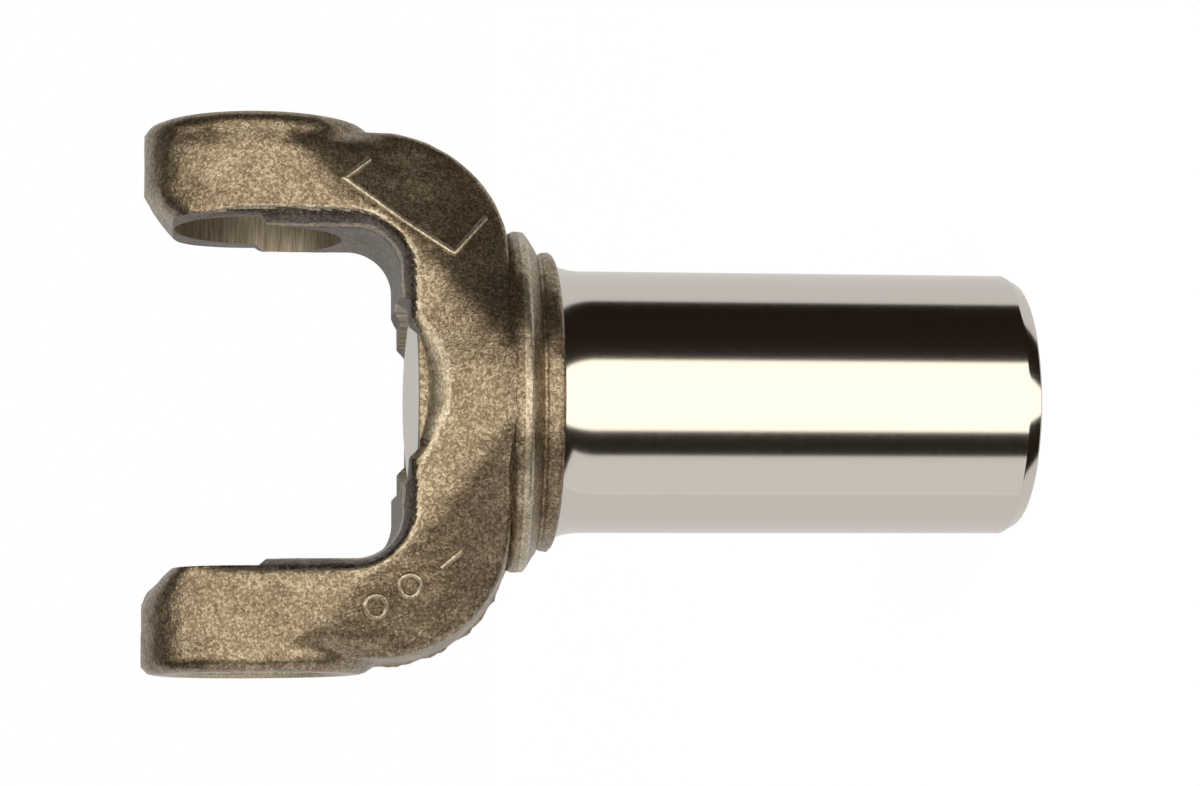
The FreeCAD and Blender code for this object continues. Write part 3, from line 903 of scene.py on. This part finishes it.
# A lamp as a lit rectangle: its back is the line from what it aims at, and its sides are level.
def softBox(name, aim, colour):
    *centre, width, depth = studio[name]
    lamp = bpy.data.lights.new(name + "Light", "AREA")
    lamp.shape, lamp.color = "RECTANGLE", srgb(colour)[:3]
    lamp.size, lamp.size_y = width * millimetre, depth * millimetre
    lamp.energy = studio[name + "Power"]
    box = bpy.data.objects.new(name + "Light", lamp)
    bpy.context.scene.collection.objects.link(box)
    back = np.array(centre, float) - np.array(aim, float)
    back /= np.linalg.norm(back)
    right = np.cross((0, 1, 0) if abs(back[1]) < 0.9 else (0, 0, 1), back)
    right /= np.linalg.norm(right)
    box.matrix_world = placed(right, np.cross(back, right), back, centre)


def paleSheet(name, corners, material):  # a flat sheet of the set
    sheet = meshPiece(name, corners, [[0, 1, 2, 3]])
    sheet.data.materials.append(material)


# Matt white board, plain white to the camera but for a share that lets soft shadows show.
# It ends at the barrel's end for reflected rays and lamp light, which pass through it.
def whiteFloor():
    s = studio
    material, tree = newMaterial("whiteFloor")
    path = addNode(tree, "ShaderNodeLightPath").outputs
    surface = addNode(tree, "ShaderNodeBsdfDiffuse", {"Color": srgb(s["boardColour"])})
    white = addNode(tree, "ShaderNodeEmission",
                    {"Color": (1, 1, 1, 1), "Strength": s["whiteStrength"]})
    share = addNode(tree, "ShaderNodeMath", {1: s["whiteShare"]}, {0: path["Is Camera Ray"]},
                    operation="MULTIPLY")
    board = addNode(tree, "ShaderNodeMixShader",
                    links={0: share.outputs[0], 1: surface.outputs[0], 2: white.outputs[0]})
    through = addNode(tree, "ShaderNodeMath",
                      links={0: path["Is Glossy Ray"], 1: path["Is Shadow Ray"]},
                      operation="MAXIMUM")
    clear = addNode(tree, "ShaderNodeBsdfTransparent")
    shader = addNode(tree, "ShaderNodeMixShader",
                     links={0: through.outputs[0], 1: board.outputs[0], 2: clear.outputs[0]})
    addNode(tree, "ShaderNodeOutputMaterial", links={"Surface": shader.outputs[0]})
    return material


# The same behind the object: plain white to the camera, and pale where the object mirrors it.
def whiteWall():
    s = studio
    material, tree = newMaterial("whiteWall")
    path = addNode(tree, "ShaderNodeLightPath").outputs
    surface = addNode(tree, "ShaderNodeBsdfDiffuse", {"Color": srgb(s["boardColour"])})
    pale = addNode(tree, "ShaderNodeEmission",
                   {"Color": srgb(s["mirrored"]), "Strength": s["mirroredStrength"]})
    white = addNode(tree, "ShaderNodeEmission", {"Color": (1, 1, 1, 1), "Strength": 1.0})
    board = addNode(tree, "ShaderNodeMixShader",
                    links={0: path["Is Glossy Ray"], 1: surface.outputs[0], 2: pale.outputs[0]})
    shader = addNode(tree, "ShaderNodeMixShader",
                     links={0: path["Is Camera Ray"], 1: board.outputs[0], 2: white.outputs[0]})
    addNode(tree, "ShaderNodeOutputMaterial", links={"Surface": shader.outputs[0]})
    return material


boardHalf, wallHalf = studio["boardSize"] / 2, studio["wallSize"] / 2
behind, under, start = studio["backdrop"], studio["floor"], studio["wallLeft"]
paleSheet("backdrop", [(start, -wallHalf, behind), (wallHalf, -wallHalf, behind),
                       (wallHalf, wallHalf, behind), (start, wallHalf, behind)], whiteWall())
paleSheet("floor", [(under, -boardHalf, -boardHalf), (under, boardHalf, -boardHalf),
                    (under, boardHalf, boardHalf), (under, -boardHalf, boardHalf)], whiteFloor())
for name in ("front", "low"):
    x, y = studio[name][:2]
    softBox(name, (x, y, 0), studio["lampColour"])
x, _, z = studio["side"][:3]
softBox("side", (x, 0, z), studio["sideColour"])
softBox("left", (0, 0, 0), studio["lampColour"])

world = bpy.data.worlds.new("room")
bpy.context.scene.world = world
world.use_nodes = True
tree = world.node_tree
tree.nodes.clear()
# Faint warm light from all round, and plain white to the camera.
path = addNode(tree, "ShaderNodeLightPath")
dim = addNode(tree, "ShaderNodeBackground",
              {"Color": srgb(studio["worldColour"]), "Strength": studio["world"]})
white = addNode(tree, "ShaderNodeBackground", {"Color": (1, 1, 1, 1), "Strength": 1.0})
both = addNode(tree, "ShaderNodeMixShader",
               links={0: path.outputs["Is Camera Ray"], 1: dim.outputs[0], 2: white.outputs[0]})
addNode(tree, "ShaderNodeOutputWorld", links={"Surface": both.outputs[0]})

# The camera, lying down: its place in millimetres, its axes, and its lens in millimetres.
view = {
    "place": (-14.62, -68.38, 585.86), "lens": 97.389, "sensor": 36, "clip": (0.01, 20),
    "right": (0.9916, -0.0093, 0.1293), "up": (-0.0061, 0.9930, 0.1180),
    "back": (-0.1295, -0.1178, 0.9846),
}
camera = bpy.data.objects.new("camera", bpy.data.cameras.new("camera"))
bpy.context.scene.collection.objects.link(camera)
camera.data.lens = view["lens"]
camera.data.sensor_width = view["sensor"]
camera.data.clip_start, camera.data.clip_end = view["clip"]
camera.matrix_world = placed(view["right"], view["up"], view["back"], view["place"])
bpy.context.scene.camera = camera
bpy.context.scene.view_settings.view_transform = "Standard"
print("stage set")
